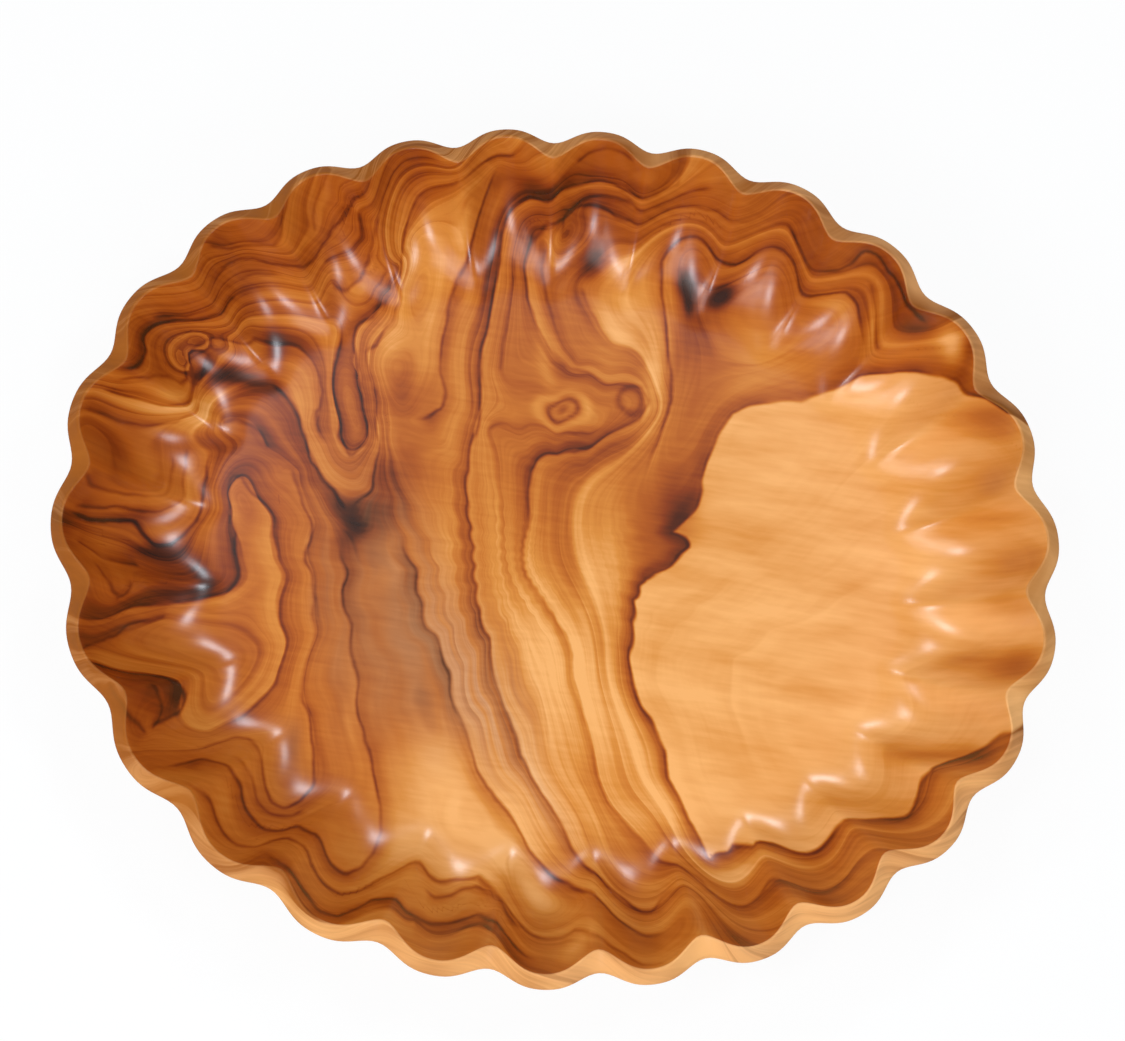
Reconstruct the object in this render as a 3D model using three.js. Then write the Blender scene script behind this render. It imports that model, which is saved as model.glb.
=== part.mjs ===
// A scalloped serving dish, carved by hand from one block of olive wood.
// Millimetres, +Z up. The dish stands on z = 0 with its long axis along X,
// and the middle of its outline is the origin.
import * as THREE from "three";

// Outline of the rim
const EDGE_LENGTH = 347.4; // long axis of the oval that the scalloped edge weaves about
const EDGE_WIDTH = 300.6; // short axis of the same oval
const LOBE_COUNT = 26; // lobes round the edge, each with its own flute inside
const SCALLOP_DEPTH = 5.4; // from the tip of a lobe to the bottom of the dip beside it
const CREST_SCALLOP = 8; // the same along the crest, so the rim is wider at each dip
const LOBE_BLUNTNESS = 0.15; // second wave that broadens the tips and narrows the dips
const FIRST_LOBE = -3.1; // degrees round the edge, from +X, to the first lobe's tip

// Hand carving: where lobes crowd or spread, and where the oval is out of true
const LOBE_DRIFT = [
  { waves: 1, lobes: 0.226, peak: 124 },
  { waves: 2, lobes: 0.173, peak: -21 },
];
const OVAL_ERROR = [
  { waves: 3, depth: 0.57, peak: 32 },
  { waves: 4, depth: 1.03, peak: -25 },
];

// Heights
const DISH_HEIGHT = 48; // table to the line of the rim's crest
const FLOOR_THICKNESS = 9; // wood under the flat floor

// Rim: a bevelled face that falls outwards from its crest
const RIM_WIDTH = 6.6; // crest to outer edge, seen from above
const RIM_DROP = 5.2; // crest to outer edge, in height
const CREST_ROUND = 0.9; // length of each side of the crest that is rounded off
const EDGE_ROUND = 2.2; // the same at the outer edge

// Hollow: a cove that leaves the flat floor and steepens to the crest
const WALL_RUN = 45; // crest to the floor's edge, seen from above
const WALL_LEAN = 62; // degrees from level, where the cove meets the crest
const FLUTE_FOOT_DEPTH = 3.6; // how far the flutes scallop the floor's edge
const FLUTE_BELLY_DEPTH = 11; // the depth that pulls them in half way up
const RIDGE_SHARPNESS = 1.6; // the sharpness that pulls them half way up: 0 is a soft wave, 1 is gouge cuts
const CREST_SHARPNESS = 0.4; // the sharpness that is left at the crest
const RIDGE_ROUND = 0.2; // how round the ridges between gouge cuts are: 0 is a sharp line

// Outside: a lobed wall that runs in to a plain oval foot
const FOOT_REACH = 13; // how far the foot stands outside the floor's edge
const OUTSIDE_LEAN = 64; // degrees from level, where the wall leaves the outer edge
const FOOT_RISE = 8; // height of the corner that bends the wall towards the foot

// Facets
const LOBE_STEPS = 8;
const COVE_STEPS = 9;
const OUTSIDE_STEPS = 6;
const CREST_STEPS = 2;
const EDGE_STEPS = 3;
const ARC_STEPS = 3600;
const SEARCH_STEPS = 60;
const HUB_SHARE = 0.55; // size of the coarser ring inside each flat face

const TURN = 2 * Math.PI;
const { degToRad, lerp } = THREE.MathUtils;

// Sum of slow waves round the edge, at u radians of edge length from +X.
function slowWaves(waves, size, u) {
  return waves.reduce(
    (sum, w) => sum + w[size] * Math.cos(w.waves * (u - degToRad(w.peak))),
    0,
  );
}

// Lobe phase at u: a whole turn for each lobe, 0 at its tip and half a turn in the dip.
function lobePhase(u) {
  return LOBE_COUNT * (u - degToRad(FIRST_LOBE)) + TURN * slowWaves(LOBE_DRIFT, "lobes", u);
}

// The u at which the lobe phase has a given value.
function edgeAtPhase(phase) {
  let low = (phase - TURN) / LOBE_COUNT - Math.PI;
  let high = (phase + TURN) / LOBE_COUNT + Math.PI;
  for (let step = 0; step < SEARCH_STEPS; step++) {
    const middle = (low + high) / 2;
    if (lobePhase(middle) < phase) low = middle;
    else high = middle;
  }
  return (low + high) / 2;
}

// The oval by its own edge length: a place and an outward direction at each u.
function makeOval() {
  const long = EDGE_LENGTH / 2;
  const short = EDGE_WIDTH / 2;
  const angles = [0];
  const lengths = [0];
  for (let step = 1; step <= ARC_STEPS; step++) {
    const angle = (TURN * step) / ARC_STEPS;
    const before = angles[step - 1];
    const dx = long * (Math.cos(angle) - Math.cos(before));
    const dy = short * (Math.sin(angle) - Math.sin(before));
    angles.push(angle);
    lengths.push(lengths[step - 1] + Math.hypot(dx, dy));
  }
  const perimeter = lengths[ARC_STEPS];
  return (u) => {
    const share = (((u / TURN) % 1) + 1) % 1;
    const wanted = share * perimeter;
    let low = 0;
    let high = ARC_STEPS;
    while (high - low > 1) {
      const middle = (low + high) >> 1;
      if (lengths[middle] <= wanted) low = middle;
      else high = middle;
    }
    const part = (wanted - lengths[low]) / (lengths[high] - lengths[low]);
    const angle = lerp(angles[low], angles[high], part);
    const place = new THREE.Vector2(long * Math.cos(angle), short * Math.sin(angle));
    const outward = new THREE.Vector2(short * Math.cos(angle), long * Math.sin(angle)).normalize();
    return { place, outward };
  };
}

// Scallop between -1 in a dip and +1 on a tip: a soft wave, or gouge cuts that meet in rounded ridges.
function scallop(phase, sharpness) {
  const wave = Math.cos(phase) - LOBE_BLUNTNESS * Math.cos(2 * phase);
  const full = Math.hypot(1, RIDGE_ROUND) - RIDGE_ROUND;
  const cut = (Math.hypot(Math.cos(phase / 2), RIDGE_ROUND) - RIDGE_ROUND) / full;
  return lerp(wave, 2 * cut - 1, sharpness);
}

// A number that goes from one value to another, pulled towards a third half way.
function pulled(from, pull, to, share) {
  return lerp(lerp(from, pull, share), lerp(pull, to, share), share);
}

// Points of a cross-section curve, as { inset from the edge oval, z }.
function curvePoints(from, corner, to, steps) {
  const curve = new THREE.QuadraticBezierCurve(from, corner, to);
  return curve.getPoints(steps).map((p) => ({ inset: p.x, z: p.y }));
}

// A point at a given distance from a corner towards another point.
function backFrom(corner, towards, distance) {
  return towards.clone().sub(corner).setLength(distance).add(corner);
}

// Cross-section stations, from the floor's edge over the rim and down the outside to the foot.
// Each has an inset, a height, the depth of the scallops there and how sharp their ridges are.
function sectionStations() {
  const floorInset = RIM_WIDTH + WALL_RUN;
  const edgeHeight = DISH_HEIGHT - RIM_DROP;
  const hollowDepth = DISH_HEIGHT - FLOOR_THICKNESS;
  const crest = new THREE.Vector2(RIM_WIDTH, DISH_HEIGHT);
  const coveCorner = new THREE.Vector2(
    RIM_WIDTH + hollowDepth / Math.tan(degToRad(WALL_LEAN)),
    FLOOR_THICKNESS,
  );
  const floorEdge = new THREE.Vector2(floorInset, FLOOR_THICKNESS);
  const outerEdge = new THREE.Vector2(0, edgeHeight);
  const outsideCorner = new THREE.Vector2(
    (edgeHeight - FOOT_RISE) / Math.tan(degToRad(OUTSIDE_LEAN)),
    FOOT_RISE,
  );
  const foot = new THREE.Vector2(floorInset - FOOT_REACH, 0);

  const coveTop = backFrom(crest, coveCorner, CREST_ROUND);
  const rimTop = backFrom(crest, outerEdge, CREST_ROUND);
  const rimFoot = backFrom(outerEdge, crest, EDGE_ROUND);
  const outsideTop = backFrom(outerEdge, outsideCorner, EDGE_ROUND);

  const cove = curvePoints(floorEdge, coveCorner, coveTop, COVE_STEPS).map((p, i) => {
    const rise = i / COVE_STEPS;
    const depth = pulled(FLUTE_FOOT_DEPTH, FLUTE_BELLY_DEPTH, CREST_SCALLOP, rise);
    return { ...p, depth, sharpness: pulled(0, RIDGE_SHARPNESS, CREST_SHARPNESS, rise) };
  });
  const rimCrest = curvePoints(coveTop, crest, rimTop, CREST_STEPS)
    .slice(1)
    .map((p) => ({ ...p, depth: CREST_SCALLOP, sharpness: CREST_SHARPNESS }));
  const rimEdge = curvePoints(rimFoot, outerEdge, outsideTop, EDGE_STEPS).map((p) => ({
    ...p,
    depth: SCALLOP_DEPTH,
    sharpness: 0,
  }));
  const outside = curvePoints(outsideTop, outsideCorner, foot, OUTSIDE_STEPS)
    .slice(1)
    .map((p, i) => ({ ...p, depth: SCALLOP_DEPTH * (1 - (i + 1) / OUTSIDE_STEPS), sharpness: 0 }));
  return [...cove, ...rimCrest, ...rimEdge, ...outside];
}

// One ring of points round the dish at a station.
function stationRing(columns, station) {
  return columns.map(({ place, outward, phase, error }) => {
    const wave = (station.depth / 2) * scallop(phase, station.sharpness);
    const reach = error + wave - station.inset;
    return new THREE.Vector3(place.x + outward.x * reach, place.y + outward.y * reach, station.z);
  });
}

// Every column of points round the dish: its place on the oval, lobe phase and carving error.
function edgeColumns() {
  const oval = makeOval();
  return Array.from({ length: LOBE_COUNT * LOBE_STEPS }, (_, index) => {
    const phase = (TURN * index) / LOBE_STEPS;
    const u = edgeAtPhase(phase);
    return { ...oval(u), phase, error: slowWaves(OVAL_ERROR, "depth", u) };
  });
}

// Triangles between a ring and the next one on.
function stitchRings(from, to) {
  return from.flatMap((corner, i) => {
    const next = (i + 1) % from.length;
    return [corner, to[i], to[next], corner, to[next], from[next]];
  });
}

// Triangles of a flat face inside a ring: a fan to one hub point for each lobe, then to the middle.
function fillRing(ring, upward) {
  const middle = ring.reduce((sum, p) => sum.add(p), new THREE.Vector3()).divideScalar(ring.length);
  const hubs = Array.from({ length: LOBE_COUNT }, (_, lobe) =>
    middle.clone().lerp(ring[lobe * LOBE_STEPS], HUB_SHARE),
  );
  const triangles = [];
  for (let i = 0; i < ring.length; i++) {
    const hub = Math.floor((i + LOBE_STEPS / 2) / LOBE_STEPS) % LOBE_COUNT;
    triangles.push([hubs[hub], ring[i], ring[(i + 1) % ring.length]]);
  }
  for (let lobe = 0; lobe < LOBE_COUNT; lobe++) {
    const next = (lobe + 1) % LOBE_COUNT;
    const between = ring[lobe * LOBE_STEPS + LOBE_STEPS / 2];
    triangles.push([hubs[lobe], between, hubs[next]]);
    triangles.push([middle, hubs[lobe], hubs[next]]);
  }
  return triangles.flatMap(([a, b, c]) => (upward ? [a, b, c] : [a, c, b]));
}

// The whole dish as one closed surface, moved so that the middle of its outline is the origin.
function carvedDishGeometry() {
  const columns = edgeColumns();
  const rings = sectionStations().map((station) => stationRing(columns, station));
  const corners = fillRing(rings[0], true);
  for (let i = 1; i < rings.length; i++) {
    corners.push(...stitchRings(rings[i - 1], rings[i]));
  }
  corners.push(...fillRing(rings[rings.length - 1], false));

  const geometry = new THREE.BufferGeometry().setFromPoints(corners);
  geometry.computeBoundingBox();
  const centre = geometry.boundingBox.getCenter(new THREE.Vector3());
  geometry.translate(-centre.x, -centre.y, 0);
  geometry.computeVertexNormals();
  return geometry;
}

const oiledOliveWood = new THREE.MeshStandardMaterial({
  color: 0xc27a36,
  roughness: 0.32,
  metalness: 0,
});

const dish = new THREE.Group();
const carvedDish = new THREE.Mesh(carvedDishGeometry(), oiledOliveWood);
carvedDish.name = "carved_dish";
dish.add(carvedDish);

export default dish;
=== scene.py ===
"""A scalloped serving dish, carved by hand from one block of olive wood and oiled to a gloss.

The dish is one closed surface on a grid of rows and columns. A row is a station of the dish's
cross-section, from the middle of the floor over the rim and down the outside to the middle of
the foot. A column is a step round the edge. The wood's growth rings are charted as lines in the
photograph, carried to the surface through the photograph's own camera, and kept on the mesh as
attributes that the finish reads.

Units are metres, +Z up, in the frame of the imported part.
"""

from __future__ import annotations

import logging
from dataclasses import dataclass
from enum import Enum

import bpy
import numpy as np
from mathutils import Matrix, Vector


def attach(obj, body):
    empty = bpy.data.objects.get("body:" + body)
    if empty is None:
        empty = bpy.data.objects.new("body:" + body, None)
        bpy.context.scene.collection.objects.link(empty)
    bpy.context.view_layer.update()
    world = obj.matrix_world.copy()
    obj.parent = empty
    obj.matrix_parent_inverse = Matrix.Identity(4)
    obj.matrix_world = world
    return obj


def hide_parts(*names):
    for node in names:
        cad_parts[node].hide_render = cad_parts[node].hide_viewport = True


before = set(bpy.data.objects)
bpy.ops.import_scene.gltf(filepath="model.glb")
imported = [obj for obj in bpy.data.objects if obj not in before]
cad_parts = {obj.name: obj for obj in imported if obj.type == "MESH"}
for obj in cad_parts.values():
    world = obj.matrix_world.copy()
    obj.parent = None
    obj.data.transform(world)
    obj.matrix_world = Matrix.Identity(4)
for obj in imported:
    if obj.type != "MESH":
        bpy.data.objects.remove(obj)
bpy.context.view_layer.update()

LOG = logging.getLogger("dish")
TURN = 2.0 * np.pi
MM = 0.001
MIDDLES = 2
NOISE_MIDDLE = 0.5

SCREEN_KNEE = 0.04045
SCREEN_SLOPE = 12.92
SCREEN_OFFSET = 0.055
SCREEN_POWER = 2.4

Pixel = tuple[float, float]
Colour = tuple[float, float, float]
Stops = tuple[tuple[float, tuple[float, ...]], ...]
Easing = tuple[float, float, float, float]

DAYLIGHT: Colour = (0.82, 0.91, 1.0)
WOOD_TONES: Stops = (
    (0.00, (0.22, 0.09, 0.03)),
    (0.15, (0.34, 0.13, 0.02)),
    (0.32, (0.55, 0.22, 0.03)),
    (0.48, (0.70, 0.34, 0.07)),
    (0.62, (0.79, 0.44, 0.13)),
    (0.78, (0.87, 0.55, 0.22)),
    (1.00, (0.98, 0.70, 0.41)),
)
GREYED_TONES: Stops = (
    (0.00, (0.17, 0.10, 0.06)),
    (0.15, (0.29, 0.17, 0.09)),
    (0.40, (0.57, 0.36, 0.22)),
    (0.55, (0.68, 0.44, 0.27)),
    (0.72, (0.80, 0.54, 0.35)),
    (1.00, (0.93, 0.71, 0.50)),
)
RING_TONES = (
    (1.00, 0.50), (1.20, 0.66), (1.38, 0.74), (1.42, 0.50), (1.75, 0.56), (1.98, 0.68),
    (2.02, 0.52), (2.50, 0.62), (2.98, 0.70), (3.02, 0.50), (3.48, 0.66), (3.52, 0.70),
    (3.72, 0.63), (3.76, 0.53), (4.00, 0.58), (4.05, 0.78), (4.45, 0.70), (4.50, 0.53),
    (4.95, 0.68), (5.00, 0.48), (5.90, 0.62), (6.00, 0.46), (6.50, 0.58), (7.00, 0.52),
    (8.00, 0.58), (9.00, 0.52),
)


@dataclass(frozen=True)
class SlowWave:
    """One slow wave round the edge of the dish: hand carving is never quite true."""

    waves: int
    size: float
    peak: float


def slow_waves(waves: tuple[SlowWave, ...], u: np.ndarray) -> np.ndarray:
    """Adds up slow waves: size times the cosine of the wave count times the angle from its peak.

    Args:
        waves: The waves, with their peaks in degrees.
        u: Places round the edge, in radians of edge length from +X.

    Returns:
        The sum at each place.
    """
    return sum(w.size * np.cos(w.waves * (u - np.radians(w.peak))) for w in waves)


def quadratic(start: np.ndarray, corner: np.ndarray, end: np.ndarray, t: np.ndarray) -> np.ndarray:
    """Points of a quadratic Bezier curve: start, corner and end weighted (1-t)^2, 2t(1-t), t^2.

    Args:
        start: First point.
        corner: The point that pulls the curve.
        end: Last point.
        t: Where along the curve, from 0 to 1.

    Returns:
        One point for each t.
    """
    t = t[:, None]
    return start * (1 - t) ** 2 + corner * 2 * t * (1 - t) + end * t**2


def towards(corner: np.ndarray, other: np.ndarray, distance: float) -> np.ndarray:
    """The point at a distance from a corner, on the straight way to another point."""
    step = other - corner
    return corner + step * distance / np.hypot(*step)


def blend(low: np.ndarray, high: np.ndarray, share: np.ndarray) -> np.ndarray:
    """Goes from low to high as share goes from 0 to 1."""
    return low + (high - low) * share


def smooth_step(value: np.ndarray) -> np.ndarray:
    """Clips a value to 0..1 and eases it in and out: 3v^2 - 2v^3."""
    value = np.clip(value, 0.0, 1.0)
    return value * value * (3.0 - 2.0 * value)


def direction(azimuth: float, elevation: float) -> np.ndarray:
    """The way out to a camera or light: swung from the front and lifted, both in degrees."""
    swing, lift = np.radians([azimuth, elevation])
    return np.array([np.cos(lift) * np.sin(swing), -np.cos(lift) * np.cos(swing), np.sin(lift)])


def add_object(name: str, data: bpy.types.ID) -> bpy.types.Object:
    """Puts a mesh, light or camera in the scene, at the origin."""
    item = bpy.data.objects.new(name, data)
    bpy.context.scene.collection.objects.link(item)
    return item


@dataclass(frozen=True)
class PhotoCamera:
    """The photograph's camera: where it stood, and how it maps the dish to pixels."""

    width: int = 1125
    height: int = 1041
    focal: float = 2830.1
    elevation: float = 77.0
    azimuth: float = 9.807
    distance: float = 1.0
    target: tuple[float, float, float] = (0.00035, 0.01405, 0.020)
    sensor: float = 36.0

    def axes(self) -> tuple[np.ndarray, np.ndarray, np.ndarray, np.ndarray]:
        """The camera's place and its right, up and forward directions."""
        back = direction(self.azimuth, self.elevation)
        swing = np.radians(self.azimuth)
        right = np.array([np.cos(swing), np.sin(swing), 0.0])
        place = np.array(self.target) + self.distance * back
        return place, right, np.cross(right, -back), -back

    def project(self, points: np.ndarray) -> np.ndarray:
        """Pixels of points in space: the focal length times right or up, over the depth.

        Args:
            points: Array of points, in metres.

        Returns:
            Array of pixels in the photograph's own frame.
        """
        place, right, up, forward = self.axes()
        offset = points - place
        depth = offset @ forward
        x = self.width / 2 + self.focal * (offset @ right) / depth
        y = self.height / 2 - self.focal * (offset @ up) / depth
        return np.stack([x, y], axis=-1)

    def build(self) -> bpy.types.Object:
        """Makes the scene's camera.

        Returns:
            The camera object.
        """
        place, _, _, forward = self.axes()
        data = bpy.data.cameras.new("photo_camera")
        data.sensor_fit = "HORIZONTAL"
        data.sensor_width = self.sensor
        data.lens = self.focal * self.sensor / self.width
        camera = add_object("photo_camera", data)
        camera.location = place
        camera.rotation_euler = Vector(forward).to_track_quat("-Z", "Y").to_euler()
        bpy.context.scene.camera = camera
        return camera


class Fade(Enum):
    """Which side of a dark grain line fades away: the side of the higher ring, or the lower."""

    UP = 1.0
    DOWN = -1.0


@dataclass(frozen=True)
class GrainLine:
    """A dark line where one growth ring ends, as it runs across the photograph."""

    ring: float
    dark: float
    path: tuple[Pixel, ...]
    fade: Fade = Fade.UP


@dataclass(frozen=True)
class Patch:
    """A soft patch of tone: where it is, how far it reaches and what it does to the tone. Most are the
    wood's own tone; some are painted shade and painted highlights.

    It leans by its turn, in degrees. Grey turns it towards greyer tones, and hollow makes it a ring of
    that many reaches.
    """

    middle: Pixel
    reach: Pixel
    tone: float
    turn: float = 0.0
    grey: float = 0.0
    hollow: float = 0.0


LEFT_LINES = (
    GrainLine(8.0, 0.55, ((205, 247), (232, 249), (255, 246), (273, 245), (283, 222), (300, 172))),
    GrainLine(7.0, 0.60, ((210, 293), (226, 266), (247, 259), (271, 265), (296, 266), (315, 258),
                          (328, 240), (342, 220), (355, 200), (374, 165))),
    GrainLine(7.5, 0.45, ((330, 166), (322, 188), (315, 205), (313, 220), (316, 232))),
    GrainLine(6.3, 0.50, ((357, 208), (361, 225), (362, 238), (352, 250), (335, 256), (322, 263))),
    GrainLine(5.5, 0.75, ((445, 163), (420, 158), (402, 162), (391, 178), (384, 198), (378, 215),
                          (375, 235), (370, 260), (360, 280), (346, 292), (334, 287), (330, 276))),
    GrainLine(5.5, 0.60, ((112, 381), (132, 378), (155, 375), (172, 378), (182, 384), (187, 379),
                          (184, 367), (191, 358), (204, 352), (216, 343))),
    GrainLine(6.5, 0.60, ((150, 318), (186, 317), (201, 311), (216, 301), (226, 288), (242, 280),
                          (285, 277))),
    GrainLine(6.0, 0.95, ((118, 368), (131, 369), (142, 362), (147, 350), (143, 338), (150, 328),
                          (176, 321), (200, 322), (215, 315), (228, 303), (238, 293))),
    GrainLine(5.0, 0.60, ((101, 388), (123, 396), (145, 400), (162, 406), (184, 404), (196, 395),
                          (203, 376), (211, 352))),
    GrainLine(4.5, 0.45, ((82, 408), (103, 414), (120, 422), (145, 426), (172, 424), (189, 416),
                          (200, 402))),
    GrainLine(4.5, 0.55, ((185, 362), (215, 338), (254, 339), (274, 344), (298, 346), (312, 358),
                          (320, 375), (322, 390), (315, 412), (320, 435), (328, 445))),
    GrainLine(5.0, 0.90, ((340, 320), (338, 355), (335, 400), (339, 436), (351, 457), (364, 446),
                          (368, 425), (364, 402), (358, 378), (353, 345), (357, 326), (372, 318),
                          (384, 303), (393, 285), (400, 262))),
    GrainLine(4.0, 0.95, ((67, 510), (88, 519), (110, 521), (134, 521), (145, 537), (156, 547),
                          (172, 545), (184, 535), (196, 522), (201, 503), (208, 479), (211, 452))),
    GrainLine(4.15, 0.60, ((72, 505), (103, 508), (120, 506), (140, 512), (160, 513), (175, 505),
                           (184, 488), (187, 466), (188, 445))),
    GrainLine(4.3, 0.45, ((85, 470), (92, 485), (105, 490), (122, 494), (145, 497), (162, 496),
                          (172, 484), (175, 465), (172, 450))),
    GrainLine(4.0, 1.00, ((271, 383), (280, 390), (290, 400), (299, 418), (306, 440), (311, 462),
                          (322, 478), (334, 490), (348, 512)), Fade.DOWN),
    GrainLine(3.6, 0.50, ((222, 424), (236, 419), (250, 425), (261, 432), (266, 440), (268, 450))),
    GrainLine(3.45, 0.60, ((95, 560), (103, 575), (110, 590), (119, 598), (127, 594), (130, 580))),
    GrainLine(3.2, 0.55, ((108, 682), (116, 696), (126, 711), (137, 724), (147, 736))),
    GrainLine(3.15, 0.45, ((150, 682), (157, 695), (163, 708), (159, 720), (150, 729))),
    GrainLine(3.5, 0.60, ((75, 540), (90, 550), (103, 559), (118, 562), (140, 565))),
    GrainLine(3.0, 0.60, ((93, 620), (113, 617), (132, 605), (157, 605), (176, 603), (196, 600),
                          (226, 594), (236, 583), (238, 560), (235, 535), (228, 512), (227, 492),
                          (232, 477), (241, 476), (250, 492), (266, 505), (274, 525), (278, 550),
                          (283, 590), (284, 630), (282, 662), (276, 684), (265, 697), (254, 708),
                          (240, 719), (222, 725), (210, 733))),
    GrainLine(2.7, 0.50, ((80, 648), (98, 642), (116, 636), (128, 624), (150, 622), (170, 614))),
    GrainLine(3.0, 0.90, ((87, 660), (104, 666), (127, 672), (150, 675), (166, 677), (178, 686),
                          (184, 698), (180, 712), (165, 720), (150, 725))),
)

NEAR_LINES = (
    GrainLine(3.5, 0.75, ((280, 477), (285, 467), (291, 470), (296, 484), (301, 497), (309, 517),
                          (311, 540), (304, 562), (312, 580), (314, 600), (312, 648), (305, 668),
                          (302, 703), (310, 723), (314, 750), (313, 785), (300, 802), (285, 807),
                          (272, 801), (266, 785), (264, 768), (259, 751), (249, 740), (236, 736),
                          (221, 742), (200, 750), (165, 752))),
    GrainLine(3.75, 0.85, ((342, 540), (346, 580), (350, 620), (353, 660), (356, 700), (363, 730),
                           (372, 770), (381, 805), (380, 832), (373, 854), (361, 868), (346, 873),
                           (332, 864), (324, 848), (311, 833), (297, 826), (282, 830), (264, 828),
                           (252, 818), (244, 805), (240, 788), (232, 774), (220, 764), (202, 759),
                           (175, 766), (148, 767))),
    GrainLine(3.6, 0.90, ((176, 778), (194, 788), (208, 800), (217, 815), (225, 834), (237, 845),
                          (255, 847), (273, 840), (288, 836), (301, 846), (312, 864), (324, 883),
                          (341, 894), (360, 891), (378, 880), (397, 871), (421, 863), (430, 875),
                          (440, 881), (456, 878), (478, 876), (488, 886), (502, 900), (512, 915),
                          (524, 930), (540, 937), (560, 937), (575, 930), (592, 934), (609, 944),
                          (625, 955), (640, 963), (660, 964), (672, 955)), Fade.DOWN),
    GrainLine(3.4, 0.70, ((424, 888), (434, 898), (451, 895), (463, 888), (477, 886), (490, 893),
                          (507, 915), (519, 930)), Fade.DOWN),
    GrainLine(3.0, 0.50, ((412, 922), (428, 933), (440, 936), (452, 934), (466, 927), (480, 926),
                          (494, 934)), Fade.DOWN),
    GrainLine(3.65, 0.50, ((232, 755), (244, 764), (252, 780), (258, 799), (272, 813), (292, 815),
                           (306, 809))),
    GrainLine(3.2, 0.90, ((262, 852), (281, 864), (296, 879), (308, 898), (320, 911), (337, 916),
                          (355, 910), (372, 900), (388, 899), (405, 909), (420, 920), (440, 923),
                          (460, 919), (477, 914), (490, 920), (502, 930), (512, 944), (526, 956),
                          (541, 959)), Fade.DOWN),
    GrainLine(3.75, 1.00, ((398, 530), (407, 556), (416, 580), (421, 600), (428, 630), (440, 646),
                           (448, 670), (450, 692), (460, 716), (470, 747), (478, 772), (492, 792),
                           (515, 823), (528, 848), (540, 862), (550, 874), (566, 881), (583, 890),
                           (600, 900), (615, 915), (630, 928), (645, 935), (662, 934), (675, 924))),
)

MIDDLE_LINES = (
    GrainLine(4.0, 0.80, ((524, 142), (512, 156), (490, 160), (475, 168), (460, 179), (436, 187),
                          (418, 197), (410, 215), (404, 240), (401, 265), (396, 300), (392, 320),
                          (382, 335), (376, 346), (365, 350), (370, 375), (377, 405), (379, 445),
                          (375, 470), (365, 497), (350, 513))),
    GrainLine(3.5, 0.85, ((500, 165), (492, 178), (485, 198), (478, 218), (472, 240), (465, 262),
                          (456, 280), (450, 300), (446, 325), (440, 350), (440, 372), (446, 392),
                          (442, 408), (430, 416), (412, 418)), Fade.DOWN),
    GrainLine(3.0, 0.85, ((688, 150), (685, 167), (677, 185), (657, 195), (638, 198), (622, 190),
                          (607, 182), (583, 185), (560, 190), (530, 200), (508, 215), (502, 235),
                          (499, 262), (495, 285), (490, 322), (483, 345), (480, 365), (481, 390),
                          (480, 412), (472, 440), (469, 470), (467, 500), (471, 530), (473, 575),
                          (480, 612), (491, 645), (497, 688), (508, 715), (517, 735), (520, 755),
                          (530, 775), (545, 798), (560, 822), (570, 843), (580, 860), (592, 873),
                          (608, 886), (624, 899), (640, 911), (652, 912), (660, 898), (670, 888),
                          (683, 889), (700, 893))),
    GrainLine(2.0, 0.55, ((787, 197), (779, 206), (765, 212), (751, 221), (737, 221), (720, 212),
                          (705, 211), (686, 207), (667, 211), (653, 220), (632, 221), (615, 217),
                          (605, 209), (592, 205), (578, 207), (567, 217), (548, 222), (530, 245),
                          (524, 270), (528, 298), (537, 325), (552, 352), (570, 370), (600, 380),
                          (625, 385), (642, 388), (650, 402), (640, 420), (618, 430), (592, 446),
                          (575, 452), (555, 453), (538, 459), (531, 470), (528, 495), (529, 520),
                          (524, 545), (525, 572), (540, 595), (553, 615), (565, 635), (572, 655),
                          (573, 680), (580, 700), (585, 720), (592, 745), (597, 776), (608, 802),
                          (625, 822), (640, 838), (650, 850), (660, 860), (674, 864), (688, 871),
                          (700, 879), (709, 890), (722, 901), (745, 906), (758, 897), (768, 884),
                          (785, 882), (803, 888), (823, 890), (840, 880), (855, 866), (870, 850))),
    GrainLine(3.2, 0.55, ((576, 165), (588, 153), (605, 149), (622, 154), (634, 164))),
    GrainLine(2.5, 0.50, ((562, 236), (565, 217), (575, 204), (592, 196), (612, 197), (632, 205),
                          (655, 207), (672, 200), (690, 192), (715, 190))),
    GrainLine(2.5, 0.40, ((513, 252), (513, 280), (509, 310), (503, 345), (500, 375))),
    GrainLine(2.5, 0.40, ((486, 432), (500, 424), (530, 425), (552, 432), (575, 434), (602, 427))),
    GrainLine(1.75, 0.45, ((547, 245), (542, 270), (547, 300), (555, 327), (565, 350), (577, 365))),
    GrainLine(1.4, 0.55, ((582, 285), (590, 310), (600, 328), (615, 345), (636, 352), (648, 370))),
)

SAPWOOD_EDGE = GrainLine(1.0, 0.95, (
    (1250, 700), (1000, 735), (975, 752), (950, 760), (930, 772), (920, 782), (915, 804), (907, 816),
    (882, 818), (856, 818), (843, 823), (834, 832), (823, 843), (807, 854), (791, 851), (775, 843),
    (753, 846), (732, 844), (729, 853), (716, 853), (709, 861), (705, 850), (697, 835), (687, 815),
    (680, 800), (668, 778), (666, 752), (660, 742), (652, 720), (641, 706), (633, 685), (629, 660),
    (632, 645), (634, 600), (645, 580), (667, 568), (680, 555), (690, 547), (686, 538), (672, 532),
    (682, 523), (697, 508), (702, 490), (707, 462), (717, 436), (732, 414), (748, 405), (770, 402),
    (802, 400), (838, 387), (860, 376), (890, 372), (930, 374), (958, 382), (984, 398), (1006, 412),
    (1030, 424), (1250, 430)))

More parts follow.
